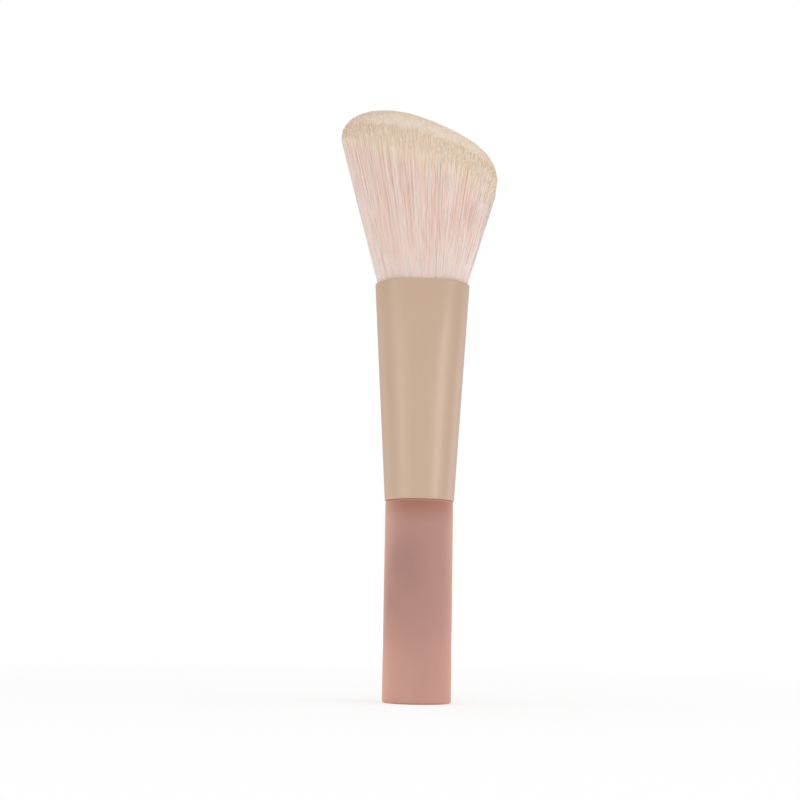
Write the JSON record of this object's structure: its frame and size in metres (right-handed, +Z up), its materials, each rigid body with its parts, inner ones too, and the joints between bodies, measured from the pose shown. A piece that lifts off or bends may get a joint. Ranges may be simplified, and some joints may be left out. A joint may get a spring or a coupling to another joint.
{
  "type": "contour brush",
  "caption": "Small hand brush for applying and blending powder or cream, with a round handle, an oval pressed ferrule and a slanted, domed tuft of fine bristles.",
  "frame": {"origin": "centre of the handle's flat end face", "axes": "+Z up along the brush, from the handle's end to the tuft; -Y faces the viewer of the broad front face; -X is the long side of the slanted tuft"},
  "size_m": [0.0311, 0.0168, 0.1146],
  "materials": {
    "handle_plastic": "satin dusty pink plastic with faint cloudy mauve variation",
    "ferrule_metal": "satin champagne anodised aluminium, drawn and pressed",
    "bristle_filament": "fine synthetic filaments in pale pink and white, with cream dyed tips",
    "set_resin": "clear amber set resin, hidden inside the ferrule",
    "binding_thread": "off-white waxed thread, hidden inside the ferrule"
  },
  "bodies": {
    "root": {"handle": "handle_plastic", "handle_glue": "set_resin", "ferrule": "ferrule_metal", "root_glue": "set_resin", "root_binding": "binding_thread", "bristle_tuft": "bristle_filament"}
  },
  "joints": []
}
